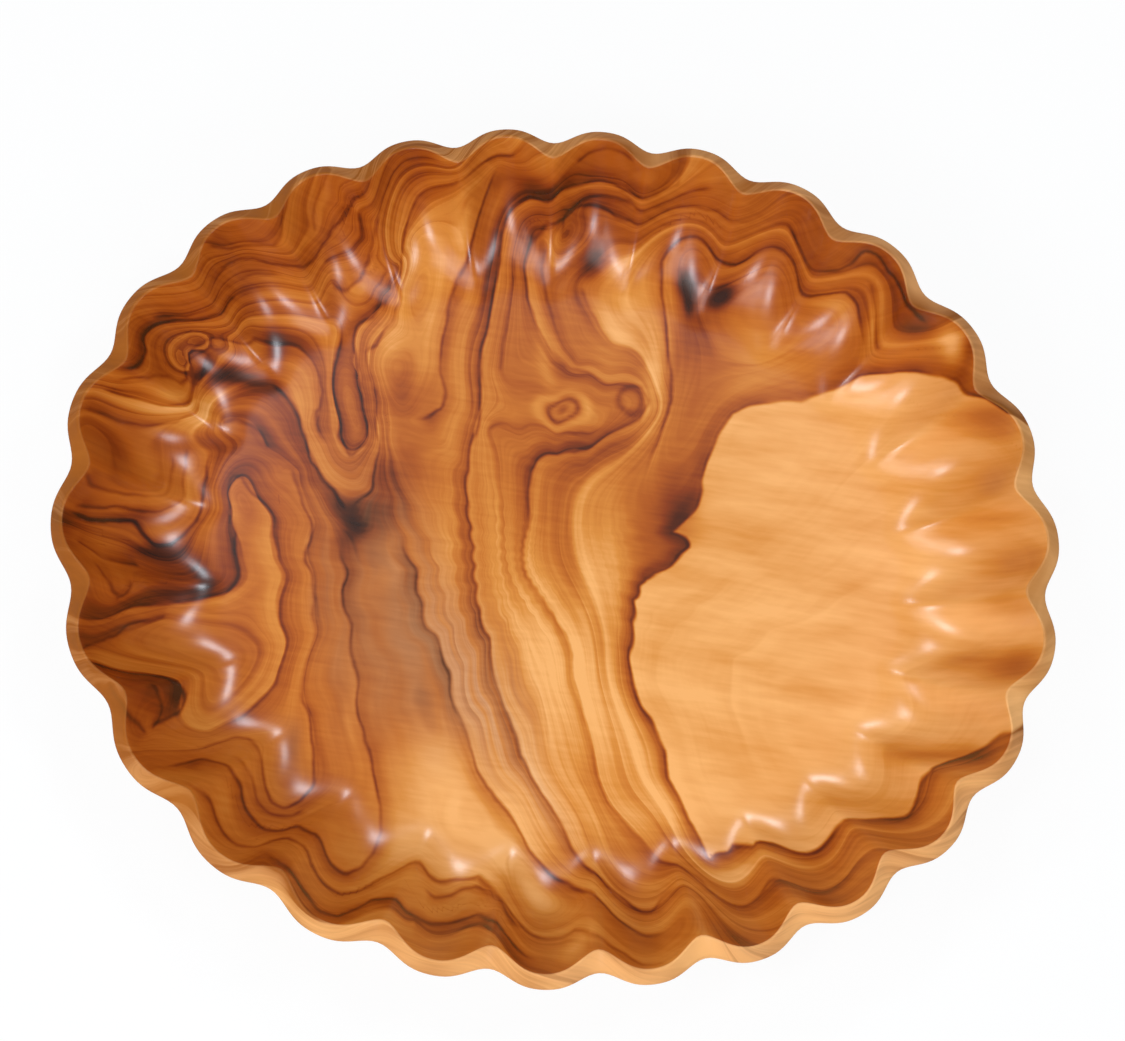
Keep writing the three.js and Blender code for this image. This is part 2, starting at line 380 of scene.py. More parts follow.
FAR_LINES = (
    GrainLine(1.0, 0.85, ((640, 480), (650, 460), (664, 424), (672, 400), (671, 372), (667, 325),
                          (662, 296), (661, 262), (668, 250), (682, 240), (697, 238), (708, 246),
                          (720, 260), (735, 266), (746, 260), (757, 252), (770, 247), (784, 251),
                          (794, 265), (800, 285), (811, 297), (828, 294), (845, 292), (856, 302),
                          (861, 325), (864, 350))),
    GrainLine(1.5, 0.75, ((785, 222), (795, 240), (805, 262), (820, 272), (838, 272), (853, 264),
                          (862, 252), (876, 253), (888, 272), (900, 290), (914, 309), (928, 326))),
    GrainLine(1.25, 0.50, ((868, 282), (874, 300), (876, 325), (880, 350))),
)

LINE_SLOTS = 3
RING_MARKS = (
    (1010, 560, 0.40), (880, 560, 0.40), (760, 640, 0.40), (760, 760, 0.40), (900, 700, 0.40),
    (370, 560, 3.85), (385, 620, 3.86), (405, 680, 3.86), (425, 740, 3.86), (445, 800, 3.85),
    (470, 845, 3.83),
)

FLOOR_TONE_AND_PAINTED_LIGHT = (
    Patch((435, 300), (34, 120), 0.30, 8.0),
    Patch((393, 355), (16, 40), 0.20),
    Patch((420, 185), (24, 36), -0.26),
    Patch((447, 335), (12, 60), -0.32, -9.0),
    Patch((432, 410), (20, 26), -0.14),
    Patch((262, 440), (40, 34), -0.18),
    Patch((345, 525), (16, 40), -0.18),
    Patch((545, 640), (48, 150), 0.12, 12.0),
    # Brighter near floor and wall: paler wood, with painted light on the near wall.
    Patch((480, 840), (90, 60), 0.09),
    Patch((672, 815), (14, 34), 0.18, 30.0),
    Patch((440, 755), (24, 30), 0.10),
    Patch((405, 850), (24, 24), 0.12),
    Patch((452, 520), (12, 70), 0.16),
    Patch((390, 475), (26, 24), -0.24),
    Patch((395, 395), (22, 24), -0.22),
    Patch((354, 520), (13, 26), -0.32),
    Patch((382, 514), (24, 18), -0.22, grey=0.4),
    Patch((560, 730), (110, 110), 0.08),
    Patch((352, 350), (14, 60), 0.10),
    Patch((548, 350), (14, 24), 0.12),
    Patch((380, 545), (20, 26), -0.10, grey=0.2),
    Patch((400, 630), (46, 125), 0.03, 12.0, grey=0.85),
    Patch((332, 610), (18, 110), -0.08, 4.0, grey=0.35),
    Patch((488, 700), (36, 95), 0.05, 22.0, grey=0.75),
    Patch((545, 800), (14, 50), 0.10, 32.0, grey=0.40),
    Patch((550, 650), (26, 110), 0.28, 20.0),
    Patch((615, 715), (22, 84), 0.24, 26.0),
    Patch((612, 560), (20, 76), 0.26),
    Patch((420, 770), (36, 56), 0.10, -10.0),
    # Pale near floor: paler wood with a painted sheen.
    Patch((450, 820), (70, 62), 0.30, -25.0),
    Patch((520, 860), (36, 52), 0.24, 30.0),
    Patch((540, 335), (9, 45), 0.20, 12.0),
    Patch((625, 310), (26, 60), 0.28, -12.0),
    Patch((658, 365), (14, 62), 0.28),
    Patch((632, 250), (26, 16), 0.14),
    Patch((590, 450), (40, 24), -0.14),
    Patch((680, 515), (20, 32), -0.28),
    Patch((695, 330), (18, 40), -0.18),
    Patch((762, 340), (42, 52), 0.26),
    Patch((640, 815), (46, 26), 0.16),
    Patch((500, 868), (14, 22), 0.14),
    Patch((588, 590), (14, 76), 0.18),
    Patch((650, 430), (14, 60), 0.10),
    Patch((388, 555), (16, 26), 0.12),
    Patch((352, 700), (12, 60), 0.12),
    Patch((235, 470), (90, 50), -0.09),
    # The next three darken the far wall's foot: partly the wood's tone, partly painted shade where the
    # lamps' highlights fall.
    Patch((590, 290), (14, 22), -0.18),
    Patch((487, 265), (12, 40), -0.18),
    Patch((415, 225), (18, 30), -0.14),
    Patch((634, 770), (30, 60), 0.12, 25.0),
    Patch((412, 480), (20, 60), -0.08),
    # Darker at the far wall's foot: partly the wood's tone, partly painted shade under a highlight.
    Patch((594, 268), (14, 18), -0.28),
    Patch((722, 294), (11, 14), -0.60),
    Patch((290, 750), (12, 22), -0.16, grey=0.5),
    Patch((248, 545), (16, 60), -0.20, 5.0),
    Patch((240, 640), (34, 50), -0.12),
)
WALL_TONE_AND_PAINTED_LIGHT = (
    # A dark stain of the wood, deepened with painted shade where a lamp's highlight falls.
    Patch((244, 381), (36, 14), -0.62, 3.0),
    # Painted shade where a lamp's highlight falls on the left wall.
    Patch((195, 447), (30, 12), -0.20),
    Patch((165, 396), (48, 16), 0.28),
    Patch((170, 416), (44, 14), 0.18),
    Patch((198, 580), (10, 18), -0.25),
    Patch((165, 551), (26, 7), -0.25),
    Patch((172, 697), (10, 14), -0.30),
    # Darker left wall by the rim: darker heartwood, with painted shade.
    Patch((85, 650), (20, 40), -0.18),
    Patch((165, 345), (30, 22), -0.15),
    # Paler upper left wall: paler wood with a painted highlight.
    Patch((300, 300), (20, 20), 0.10),
    Patch((250, 300), (18, 14), -0.18),
    Patch((285, 352), (36, 14), -0.20),
    Patch((215, 250), (40, 30), -0.12),
    # The next seven darken the left wall and rim: darker heartwood, with painted shade where less light
    # falls.
    Patch((110, 440), (44, 40), -0.26),
    Patch((75, 505), (26, 40), -0.26),
    Patch((138, 518), (50, 9), -0.28),
    Patch((175, 570), (46, 34), -0.35),
    Patch((110, 622), (40, 20), -0.22),
    Patch((140, 695), (40, 26), -0.22),
    Patch((160, 752), (46, 14), -0.20),
    Patch((222, 788), (13, 28), 0.14, 20.0),
    # The next four brighten the near wall and the near side under the rim: painted light, with the wood's
    # own paler tone.
    Patch((360, 860), (90, 50), 0.10),
    Patch((580, 945), (18, 12), 0.22),
    Patch((580, 905), (36, 22), 0.16),
    Patch((745, 862), (70, 14), 0.10),
    # Darker left wall by the rim: darker heartwood, with painted shade.
    Patch((62, 530), (20, 40), -0.15),
    Patch((890, 805), (40, 20), -0.08),
    Patch((980, 625), (50, 14), 0.12),
    # Brighter near wall: painted light, with the wood's own paler tone.
    Patch((735, 868), (34, 14), 0.18),
    Patch((745, 935), (44, 14), -0.20),
    Patch((825, 895), (40, 14), -0.14),
    Patch((925, 758), (36, 14), -0.26, 15.0),
    Patch((535, 185), (46, 18), -0.25),
    # The next two darken the far wall where the lamps' highlights fall: painted shade.
    Patch((590, 225), (70, 34), -0.20),
    Patch((525, 235), (14, 26), -0.12),
    # The next two are painted highlights, narrow streaks on the far wall's ridges.
    Patch((554, 232), (8, 26), 0.26),
    Patch((460, 222), (8, 26), 0.24),
    Patch((810, 205), (40, 20), -0.15),
    # A pale flute of the wood with a painted highlight on it.
    Patch((831, 312), (20, 26), 0.22),
    Patch((277, 348), (12, 16), -0.22),
    Patch((380, 835), (10, 14), -0.15),
    Patch((552, 862), (12, 16), -0.14),
    Patch((620, 875), (18, 12), -0.16),
    Patch((720, 925), (50, 12), -0.10),
    Patch((303, 785), (14, 16), -0.12),
    Patch((242, 712), (14, 10), -0.16),
    Patch((942, 350), (12, 18), 0.36),
    Patch((964, 345), (10, 22), -0.30),
    Patch((918, 328), (13, 14), -0.20),
    Patch((873, 325), (8, 26), 0.16),
    # Darker left wall: darker heartwood, with painted shade.
    Patch((110, 580), (56, 90), -0.08),
    Patch((988, 422), (30, 26), -0.42, grey=0.10),
    # The next six darken the right wall: grey mottling and darker wood, with painted shade at the flutes'
    # outer ends under the rim.
    Patch((1000, 482), (30, 18), -0.14, grey=0.25),
    Patch((1012, 560), (34, 18), -0.20, grey=0.25),
    Patch((1010, 664), (30, 20), -0.46),
    Patch((968, 752), (26, 12), -0.20, -25.0),
    Patch((996, 518), (38, 9), -0.18),
    Patch((1018, 600), (24, 10), -0.15),
    Patch((825, 692), (40, 8), -0.08),
    Patch((962, 657), (30, 14), -0.24, grey=0.10),
    Patch((850, 265), (120, 50), -0.13, -25.0),
)
KNOTS = (
    Patch((563, 410), (6, 4), -0.28),
    Patch((563, 410), (3.2, 2.2), -0.30, hollow=4.6),
    Patch((563, 410), (6, 4), 0.16, hollow=4.3),
    Patch((630, 402), (3.2, 3.2), -0.20, hollow=3.8),
    Patch((685, 288), (11, 13), -0.55),
    Patch((690, 303), (6, 9), -0.35),
)


@dataclass
class GrainChart:
    """Growth rings read from the photograph, spread over the whole surface."""

    lines: tuple[GrainLine, ...] = LEFT_LINES + NEAR_LINES + MIDDLE_LINES + FAR_LINES
    sapwood: GrainLine = SAPWOOD_EDGE
    # The patches: the wood's own tone, with painted shade and painted highlights among them.
    patches: tuple[Patch, ...] = FLOOR_TONE_AND_PAINTED_LIGHT + WALL_TONE_AND_PAINTED_LIGHT + KNOTS
    ring_marks: tuple[tuple[float, float, float], ...] = RING_MARKS
    reach: float = 30.0
    clearance: float = 10.0
    path_step: float = 4.0
    mark_step: float = 26.0
    end_taper: float = 0.08
    smoothing: float = 0.002
    unit: float = 100.0
    least_square: float = 1e-12

    def carry(self, path: tuple[Pixel, ...], seen: np.ndarray, plain: np.ndarray) -> np.ndarray:
        """Takes a path off the fluted surface: each pixel moves with its nearest surface point.

        Args:
            path: Pixels along a grain line, as the flutes bend it.
            seen: Pixels of the surface points.
            plain: Pixels of the same points with the flutes smoothed away.

        Returns:
            The path's pixels on the smooth surface.
        """
        pixels = np.array(path, dtype=float)
        gap = ((pixels[:, None, :] - seen[None, :, :]) ** 2).sum(axis=2)
        nearest = gap.argmin(axis=1)
        return pixels + plain[nearest] - seen[nearest]

    def even_path(self, points: np.ndarray, step: float) -> np.ndarray:
        """Points at even steps along a path, by straight lines between its own points.

        Args:
            points: The path's own points.
            step: Wanted distance between points.

        Returns:
            The new points, ends included.
        """
        lengths = np.hypot(*np.diff(points, axis=0).T)
        along = np.concatenate([[0.0], np.cumsum(lengths)])
        count = max(int(round(along[-1] / step)), 1) + 1
        wanted = np.linspace(0.0, along[-1], count)
        return np.stack([np.interp(wanted, along, points[:, axis]) for axis in (0, 1)], axis=1)

    def kernel(self, points: np.ndarray, marks: np.ndarray) -> np.ndarray:
        """Thin-plate spline kernel: distance squared times the log of the distance."""
        square = ((points[:, None, :] - marks[None, :, :]) ** 2).sum(axis=2)
        return square * np.log(np.sqrt(np.maximum(square, self.least_square)))

    def fit_rings(self, marks: np.ndarray, rings: np.ndarray) -> np.ndarray:
        """Weights of the thin-plate spline through ring marks, with a flat part added.

        Args:
            marks: Places, in spline units.
            rings: The ring number at each place.

        Returns:
            Weights of the marks, then of 1, x and y.
        """
        count = len(marks)
        flat = np.column_stack([np.ones(count), marks])
        size = count + flat.shape[1]
        system = np.zeros((size, size))
        system[:count, :count] = self.kernel(marks, marks) + self.smoothing * np.eye(count)
        system[:count, count:] = flat
        system[count:, :count] = flat.T
        return np.linalg.solve(system, np.concatenate([rings, np.zeros(size - count)]))

    def rings_at(self, pixels: np.ndarray, marks: np.ndarray, weights: np.ndarray) -> np.ndarray:
        """Ring number at each pixel, from the fitted spline."""
        points = pixels / self.unit
        flat = np.column_stack([np.ones(len(points)), points])
        return self.kernel(points, marks) @ weights[: len(marks)] + flat @ weights[len(marks):]

    def distance_from(self, pixels: np.ndarray, path: np.ndarray) -> tuple[np.ndarray, np.ndarray]:
        """Distance from a path, and where along it the nearest point is.

        The distance to each straight piece is the length of what is left after sliding along it.
        It is positive on the path's left, by a sideways direction that turns evenly from each
        corner to the next.

        Args:
            pixels: Places to measure.
            path: Points of the path.

        Returns:
            Signed distance, and share of the path from 0 to 1.
        """
        start = path[:-1]
        step = np.diff(path, axis=0)
        sideways = np.stack([-step[:, 1], step[:, 0]], axis=1) / np.hypot(*step.T)[:, None]
        corner = np.concatenate([sideways[:1], sideways[:-1] + sideways[1:], sideways[-1:]])
        offset = pixels[:, None, :] - start[None, :, :]
        slide = np.clip((offset * step).sum(axis=2) / (step**2).sum(axis=1), 0.0, 1.0)
        rest = offset - slide[:, :, None] * step
        nearest = (rest**2).sum(axis=2).argmin(axis=1)
        rows = np.arange(len(pixels))
        slide, rest = slide[rows, nearest], rest[rows, nearest]
        side = np.sign((rest * blend(corner[nearest], corner[nearest + 1], slide[:, None])).sum(axis=1))
        return side * np.hypot(*rest.T), (nearest + slide) / len(step)

    def inside(self, pixels: np.ndarray, outline: np.ndarray) -> np.ndarray:
        """Which pixels lie inside a closed outline: those with an odd count of edges to their right."""
        x, y = pixels[:, :1], pixels[:, 1:]
        x0, y0 = outline.T
        x1, y1 = np.roll(outline, -1, axis=0).T
        spans = (y0 > y) != (y1 > y)
        rise = np.where(y1 == y0, 1.0, y1 - y0)
        right = x < x0 + (y - y0) / rise * (x1 - x0)
        return (spans & right).sum(axis=1) % 2 == 1

    def patched(self, pixels: np.ndarray) -> tuple[np.ndarray, np.ndarray]:
        """Sum of the patches: each is its strength times exp(-(r - hollow)^2), r in reaches.

        Args:
            pixels: Places to work it out at.

        Returns:
            What the patches add to the tone and to the greyness.
        """
        tone = np.zeros(len(pixels))
        grey = np.zeros(len(pixels))
        for patch in self.patches:
            turn = np.radians(patch.turn)
            offset = pixels - np.array(patch.middle)
            across = offset[:, 0] * np.cos(turn) - offset[:, 1] * np.sin(turn)
            along = offset[:, 0] * np.sin(turn) + offset[:, 1] * np.cos(turn)
            reaches = np.hypot(across / patch.reach[0], along / patch.reach[1])
            share = np.exp(-((reaches - patch.hollow) ** 2))
            tone += patch.tone * share
            grey += patch.grey * share
        return tone, grey

    def deal(self, paths: list[np.ndarray]) -> list[list[int]]:
        """Deals the lines into slots, each to the slot that has the fewest points near it.

        A mesh that keeps the offset from the nearest line of a slot only jumps half way between two
        lines of the same slot, so that lines which run close together stay clean.

        Args:
            paths: Points along each line.

        Returns:
            The numbers of the lines in each slot.
        """
        slots: list[list[int]] = [[] for _ in range(LINE_SLOTS)]
        for number, path in enumerate(paths):
            crowds = []
            for slot in slots:
                others = np.concatenate([np.zeros((0, 2))] + [paths[other] for other in slot])
                gaps = np.hypot(*(path[:, None, :] - others[None, :, :]).transpose(2, 0, 1))
                crowds.append(int((gaps < self.reach).sum()))
            slots[int(np.argmin(crowds))].append(number)
        return slots

    def draw(self, lines: list[GrainLine], paths: list[np.ndarray], ring: np.ndarray,
             plain: np.ndarray) -> tuple[np.ndarray, np.ndarray]:
        """Offset of each point from its nearest line, positive where the line fades, and darkness.

        Args:
            lines: The lines of one slot.
            paths: Points along each of them.
            ring: Ring number at each point.
            plain: Pixels of the points with the flutes smoothed away.

        Returns:
            Signed offsets in pixels, and the line's darkness, which goes to 0 half way to the next.
        """
        nearest = np.full(len(plain), self.reach)
        second = np.full(len(plain), self.reach)
        offset = np.full(len(plain), self.reach)
        dark = np.zeros(len(plain))
        for line, path in zip(lines, paths):
            low, high = path.min(axis=0) - self.reach, path.max(axis=0) + self.reach
            near = np.flatnonzero(((plain > low) & (plain < high)).all(axis=1))
            signed, along = self.distance_from(plain[near], path)
            size = np.abs(signed)
            rising = np.sign(np.sum((ring[near] - line.ring) * np.sign(signed) * (size < self.reach)))
            closer = size < nearest[near]
            second[near] = np.where(closer, nearest[near], np.minimum(second[near], size))
            taper = smooth_step(along / self.end_taper) * smooth_step((1.0 - along) / self.end_taper)
            dark[near] = np.where(closer, line.dark * taper, dark[near])
            offset[near] = np.where(closer, signed * rising * line.fade.value, offset[near])
            nearest[near] = np.minimum(nearest[near], size)
        apart = smooth_step((second - nearest) / self.clearance)
        return offset, dark * apart * smooth_step((self.reach - nearest) / self.clearance)

    def spread(self, seen: np.ndarray, plain: np.ndarray, top: np.ndarray) -> dict[str, np.ndarray]:
        """Works out the wood at every point of the surface.

        Args:
            seen: Pixels of the surface points.
            plain: Pixels of the same points with the flutes smoothed away.
            top: Which points the photograph shows.

        Returns:
            The wood's fields by name, one number for each point.
        """
        lines = self.lines + (self.sapwood,)
        paths = [self.carry(line.path, seen[top], plain[top]) for line in lines]
        marks = [self.even_path(path, self.mark_step) for path in paths]
        rings = [np.full(len(mark), line.ring) for line, mark in zip(lines, marks)]
        x, y, ring = np.array(self.ring_marks).T
        marks.append(np.stack([x, y], axis=1))
        rings.append(ring)
        all_marks = np.concatenate(marks) / self.unit
        weights = self.fit_rings(all_marks, np.concatenate(rings))
        fields = {"ring": self.rings_at(plain, all_marks, weights)}

        paths = [self.even_path(path, self.path_step) for path in paths]
        for slot, numbers in enumerate(self.deal(paths)):
            offset, dark = self.draw([lines[i] for i in numbers], [paths[i] for i in numbers],
                                     fields["ring"], plain)
            fields[f"line_offset_{slot}"] = offset
            fields[f"line_dark_{slot}"] = dark

        edge = paths[-1]
        sap_offset, _ = self.distance_from(plain, edge)
        fields["sap_offset"] = np.abs(sap_offset) * np.where(self.inside(plain, edge), -1.0, 1.0)
        # The patches' tone carries painted shade and painted highlights as well as the wood's own
        # patches.
        fields["tone"], fields["grey"] = self.patched(plain)
        return fields


@dataclass(frozen=True)
class SectionRow:
    """Rows of the cross-section: inset and height, the scallops' depth and edge, and the rim face."""

    points: np.ndarray
    depth: np.ndarray
    sharpness: np.ndarray
    rim: np.ndarray


@dataclass
class CarvedDish:
    """The dish itself: a flat floor, a fluted cove wall, a bevelled scalloped rim and a foot."""

    edge_length: float = 347.4 * MM
    edge_width: float = 300.6 * MM
    lobe_count: int = 26
    scallop_depth: float = 5.4 * MM
    crest_depth: float = 8.0 * MM
    lobe_bluntness: float = 0.15
    first_lobe: float = -3.1
    height: float = 48.0 * MM
    floor_thickness: float = 9.0 * MM
    rim_width: float = 6.6 * MM
    rim_drop: float = 5.2 * MM
    crest_round: float = 0.9 * MM
    edge_round: float = 2.2 * MM
    wall_run: float = 45.0 * MM
    wall_lean: float = 62.0
    flute_foot_depth: float = 3.6 * MM
    flute_belly_depth: float = 11.0 * MM
    ridge_sharpness: float = 1.6
    crest_sharpness: float = 0.4
    ridge_round: float = 0.2
    foot_reach: float = 13.0 * MM
    outside_lean: float = 64.0
    foot_rise: float = 8.0 * MM
    lobe_steps: int = 22
    floor_rows: int = 90
    cove_rows: int = 38
    crest_rows: int = 3
    edge_rows: int = 5
    outside_rows: int = 12
    foot_rows: int = 5
    arc_steps: int = 7200
    lobe_drift: tuple[SlowWave, ...] = (SlowWave(1, 0.226, 124.0), SlowWave(2, 0.173, -21.0))
    oval_error: tuple[SlowWave, ...] = (SlowWave(3, 0.57 * MM, 32.0), SlowWave(4, 1.03 * MM, -25.0))
    # The rim's paleness round the edge: the slow waves paint light on the bevel, paler on the near and
    # right sides and darker on the far and left; the quick waves are the wood's own uneven tone.
    rim_painted_light_and_tone: tuple[SlowWave, ...] = (
        SlowWave(0, 0.46, 0.0), SlowWave(1, 0.42, -30.0), SlowWave(2, 0.18, -75.0),
        SlowWave(23, 0.07, 3.0), SlowWave(37, 0.07, 8.0), SlowWave(61, 0.05, 2.0))

    def lobe_phase(self, u: np.ndarray) -> np.ndarray:
        """Phase of the lobes: a whole turn for each lobe, 0 at its tip and half a turn in the dip."""
        even = self.lobe_count * (u - np.radians(self.first_lobe))
        return even + TURN * slow_waves(self.lobe_drift, u)

    def columns(self) -> tuple[np.ndarray, np.ndarray]:
        """Places round the edge at even steps of the lobe phase, so that a column lies on each ridge.

        Returns:
            The places u, in radians of edge length, and the phase at each.
        """
        table = np.linspace(-TURN, 2 * TURN, self.arc_steps)
        phase = TURN * np.arange(self.lobe_count * self.lobe_steps) / self.lobe_steps
        return np.interp(phase, self.lobe_phase(table), table), phase

    def oval(self, u: np.ndarray) -> tuple[np.ndarray, np.ndarray]:
        """The edge's oval by its own length: long and short half axes times cosine and sine.

        Args:
            u: Places round the edge, in radians of edge length.

        Returns:
            Places on the oval, and its outward directions there.
        """
        half = np.array([self.edge_length, self.edge_width]) / 2
        angle = np.linspace(0.0, TURN, self.arc_steps + 1)
        points = half * np.stack([np.cos(angle), np.sin(angle)], axis=1)
        length = np.concatenate([[0.0], np.cumsum(np.hypot(*np.diff(points, axis=0).T))])
        angle = np.interp((u / TURN) % 1.0, length / length[-1], angle)
        turned = np.stack([np.cos(angle), np.sin(angle)], axis=1)
        outward = half[::-1] * turned
        return half * turned, outward / np.hypot(*outward.T)[:, None]

    def scallop(self, phase: np.ndarray, sharpness: np.ndarray) -> np.ndarray:
        """Scallop from -1 in a dip to +1 on a tip: a soft wave, or gouge cuts that meet in ridges.

        The soft wave is cos(p) less a little cos(2p). The gouge cuts are 2|cos(p/2)| - 1, with the
        corner at each ridge rounded as a hyperbola rounds it.

        Args:
            phase: Lobe phase of each column.
            sharpness: 0 for the wave and 1 for the cuts, for each row.

        Returns:
            Rows by columns of scallop.
        """
        wave = np.cos(phase) - self.lobe_bluntness * np.cos(2 * phase)
        full = np.hypot(1.0, self.ridge_round) - self.ridge_round
        cuts = 2 * (np.hypot(np.cos(phase / 2), self.ridge_round) - self.ridge_round) / full - 1
        return blend(wave[None, :], cuts[None, :], sharpness[:, None])

    def section(self) -> SectionRow:
        """The cross-section's rows from the floor's edge over the rim to the foot's edge.

        Returns:
            Inset from the edge oval and height of each row, with its scallop depth and sharpness.
        """
        floor_inset = self.rim_width + self.wall_run
        edge_height = self.height - self.rim_drop
        hollow = self.height - self.floor_thickness
        lean, outer_lean = np.tan(np.radians([self.wall_lean, self.outside_lean]))
        crest = np.array([self.rim_width, self.height])
        cove_corner = np.array([self.rim_width + hollow / lean, self.floor_thickness])
        floor_edge = np.array([floor_inset, self.floor_thickness])
        outer_edge = np.array([0.0, edge_height])
        outside_corner = np.array([(edge_height - self.foot_rise) / outer_lean, self.foot_rise])
        foot = np.array([floor_inset - self.foot_reach, 0.0])

        cove_top = towards(crest, cove_corner, self.crest_round)
        rim_top = towards(crest, outer_edge, self.crest_round)
        rim_foot = towards(outer_edge, crest, self.edge_round)
        outside_top = towards(outer_edge, outside_corner, self.edge_round)

        rise = np.linspace(0.0, 1.0, self.cove_rows + 1)
        over = np.linspace(0.0, 1.0, self.crest_rows + 1)
        round_off = np.linspace(0.0, 1.0, self.edge_rows + 1)
        fall = np.linspace(0.0, 1.0, self.outside_rows + 1)[1:]
        rim = np.concatenate([
            quadratic(cove_top, crest, rim_top, over)[1:],
            blend(rim_top, rim_foot, over[1:-1, None]),
            quadratic(rim_foot, outer_edge, outside_top, round_off),
        ])
        across = np.concatenate([np.zeros(len(over) - 1), over[1:-1], np.ones(len(round_off))])
        lower = blend(self.flute_foot_depth, self.flute_belly_depth, rise)
        upper = blend(self.flute_belly_depth, self.crest_depth, rise)
        points = np.concatenate([
            quadratic(floor_edge, cove_corner, cove_top, rise),
            rim,
            quadratic(outside_top, outside_corner, foot, fall),
        ])
        depth = np.concatenate([
            blend(lower, upper, rise),
            blend(self.crest_depth, self.scallop_depth, across),
            self.scallop_depth * (1.0 - fall),
        ])
        sharpness = np.concatenate([
            2 * self.ridge_sharpness * rise * (1 - rise) + self.crest_sharpness * rise**2,
            self.crest_sharpness * (1 - across),
            np.zeros(len(fall)),
        ])
        on_rim = np.concatenate([np.zeros(len(rise)), np.ones(len(rim)), np.zeros(len(fall))])
        return SectionRow(points, depth, sharpness, on_rim)

    def rings(self, fluted: bool) -> np.ndarray:
        """Points of every row and column: the oval, moved along its outward direction.

        The move is the carving error, plus half the scallop depth times the scallop, less the
        row's inset. Floor and foot rows shrink the first and last ring to its middle.

        Args:
            fluted: False to leave the scallops and flutes out.

        Returns:
            Rows by columns by 3, without the two middle points.
        """
        u, phase = self.columns()
        place, outward = self.oval(u)
        section = self.section()
        inset, level = section.points.T
        wave = section.depth[:, None] / 2 * self.scallop(phase, section.sharpness)
        reach = slow_waves(self.oval_error, u)[None, :] - inset[:, None] + wave * float(fluted)
        flat = place[None, :, :] + outward[None, :, :] * reach[:, :, None]
        height = np.broadcast_to(level[:, None, None], flat.shape[:2] + (1,))
        body = np.concatenate([flat, height], axis=2)

        share = np.linspace(0.0, 1.0, self.floor_rows + 1)[1:-1, None, None]
        floor = blend(body[0].mean(axis=0), body[0][None], share)
        share = np.linspace(1.0, 0.0, self.foot_rows + 1)[1:-1, None, None]
        foot = blend(body[-1].mean(axis=0), body[-1][None], share)
        return np.concatenate([floor, body, foot])

    def surface(self, fluted: bool) -> np.ndarray:
        """All points in order: rows from the floor out, then the floor's and the foot's middle."""
        rings = self.rings(fluted)
        ends = np.stack([rings[0].mean(axis=0), rings[-1].mean(axis=0)])
        return np.concatenate([rings.reshape(-1, 3), ends])

    def rim_fields(self) -> dict[str, np.ndarray]:
        """The rim face, 1 there and 0 elsewhere, and how pale it is by slow waves round the edge: painted
        light, paler on the near and right sides and darker on the far and left, with small waves of the
        wood's own tone.

        Returns:
            Both fields by name, one number for each point.
        """
        u, _ = self.columns()
        pale = np.clip(slow_waves(self.rim_painted_light_and_tone, u), 0.0, 1.0)
        floor = np.zeros(self.floor_rows - 1)
        foot = np.zeros(self.foot_rows - 1)
        rows = np.concatenate([floor, self.section().rim, foot])
        rim = np.concatenate([np.repeat(rows, len(u)), np.zeros(MIDDLES)])
        pale = np.concatenate([np.tile(pale, len(rows)), np.zeros(MIDDLES)])
        return {"rim": rim, "rim_painted_light_and_tone": pale}

    def faces(self, rows: int, columns: int) -> tuple[np.ndarray, np.ndarray]:
        """Faces of the closed grid: quads between rows, and a fan to each middle point.

        Args:
            rows: Rows of points.
            columns: Points in a row.

        Returns:
            Quads and triangles, as point numbers.
        """
        index = np.arange(rows * columns).reshape(rows, columns)
        after = np.roll(index, -1, axis=1)
        quads = np.stack([index[:-1], index[1:], after[1:], after[:-1]], axis=2).reshape(-1, 4)
        middle = np.full(columns, rows * columns)
        floor = np.stack([middle, index[0], after[0]], axis=1)
        foot = np.stack([middle + 1, after[-1], index[-1]], axis=1)
        return quads, np.concatenate([floor, foot])

    def build(self, camera: PhotoCamera, chart: GrainChart) -> bpy.types.Object:
        """Makes the dish's mesh, with the wood's fields as point attributes.

        Args:
            camera: The photograph's camera, which carries the chart to the surface.
            chart: The growth rings.

        Returns:
            The dish, at the origin.
        """
        points = self.surface(fluted=True)
        plain = self.surface(fluted=False)
        centre = (points.max(axis=0) + points.min(axis=0)) / 2 * np.array([1.0, 1.0, 0.0])
        points -= centre
        plain -= centre
        columns = self.lobe_count * self.lobe_steps
        rows = (len(points) - MIDDLES) // columns
        quads, fans = self.faces(rows, columns)

        mesh = bpy.data.meshes.new("carved_dish_wood")
        corners = np.concatenate([quads.ravel(), fans.ravel()]).astype(np.int32)
        totals = [np.full(len(faces), faces.shape[1]) for faces in (quads, fans)]
        totals = np.concatenate(totals).astype(np.int32)
        starts = (np.cumsum(totals) - totals).astype(np.int32)
        mesh.vertices.add(len(points))
        mesh.vertices.foreach_set("co", points.astype(np.float32).ravel())
        mesh.loops.add(len(corners))
        mesh.loops.foreach_set("vertex_index", corners)
        mesh.polygons.add(len(totals))
        mesh.polygons.foreach_set("loop_start", starts)
        mesh.polygons.foreach_set("use_smooth", np.ones(len(totals), dtype=bool))
        mesh.update(calc_edges=True)
        mesh.validate()

        top_rows = self.floor_rows + self.cove_rows + 2 * self.crest_rows + self.edge_rows
        top = np.arange(top_rows * columns)
        wood = chart.spread(camera.project(points), camera.project(plain), top)
        fields = {**wood, **self.rim_fields()}
        for name, values in fields.items():
            attribute = mesh.attributes.new(name, "FLOAT", "POINT")
            attribute.data.foreach_set("value", values.astype(np.float32))
        return add_object("carved_dish_wood", mesh)

